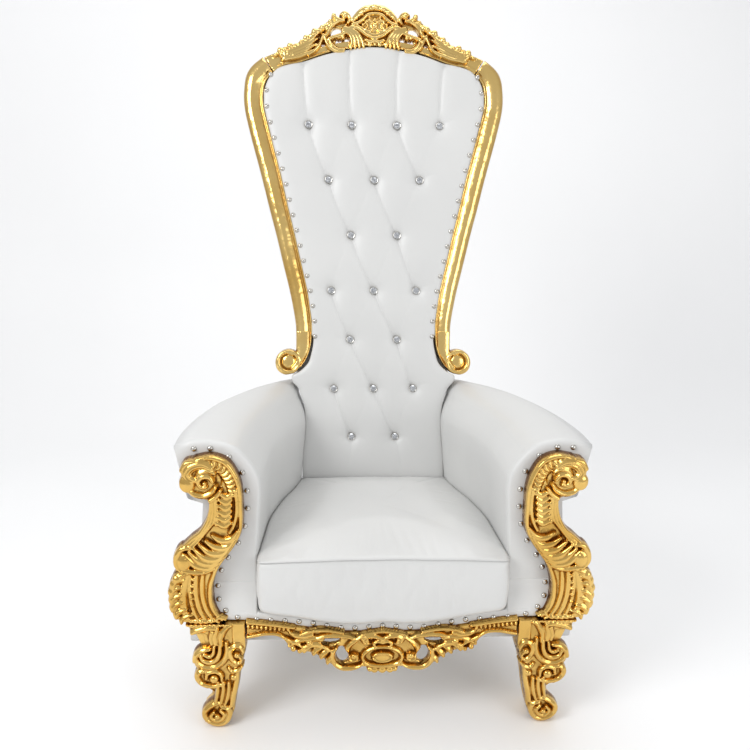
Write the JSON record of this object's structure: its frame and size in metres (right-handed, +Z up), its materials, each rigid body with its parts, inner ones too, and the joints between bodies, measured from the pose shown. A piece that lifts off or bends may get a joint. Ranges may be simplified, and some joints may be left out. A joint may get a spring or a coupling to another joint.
{
  "type": "throne",
  "caption": "Tall throne chair with a pierced gilt frame, scrolled arm facings, carved apron and cabriole legs, a buttoned back and a deep padded seat between rolled arms.",
  "frame": {"origin": "on the floor, in the middle of the whole chair seen from above", "axes": "+Z up, the chair faces -Y, +X towards the sitter's left hand"},
  "size_m": [1.0228, 0.8518, 1.7526],
  "materials": {
    "gilt": "carved wood under burnished antique gold leaf",
    "leather": "white faux leather, satin, fine grain",
    "crystal": "clear faceted crystal in a silvered cup"
  },
  "bodies": {
    "root": {"crest_rail": "gilt", "back_stile_left": "gilt", "back_stile_right": "gilt", "back_pad": "leather", "back_panel": "leather", "button_01": "crystal", "button_02": "crystal", "button_03": "crystal", "button_04": "crystal", "button_05": "crystal", "button_06": "crystal", "button_07": "crystal", "button_08": "crystal", "button_09": "crystal", "button_10": "crystal", "button_11": "crystal", "button_12": "crystal", "button_13": "crystal", "button_14": "crystal", "button_15": "crystal", "button_16": "crystal", "button_17": "crystal", "button_18": "crystal", "button_19": "crystal", "arm_left": "leather", "arm_right": "leather", "arm_facing_left": "gilt", "arm_facing_right": "gilt", "seat_cushion": "leather", "seat_frame": "leather", "front_apron": "gilt", "side_apron_left": "gilt", "side_apron_right": "gilt", "rear_rail": "gilt", "front_leg_left": "gilt", "front_leg_right": "gilt", "rear_leg_left": "gilt", "rear_leg_right": "gilt"}
  },
  "joints": []
}
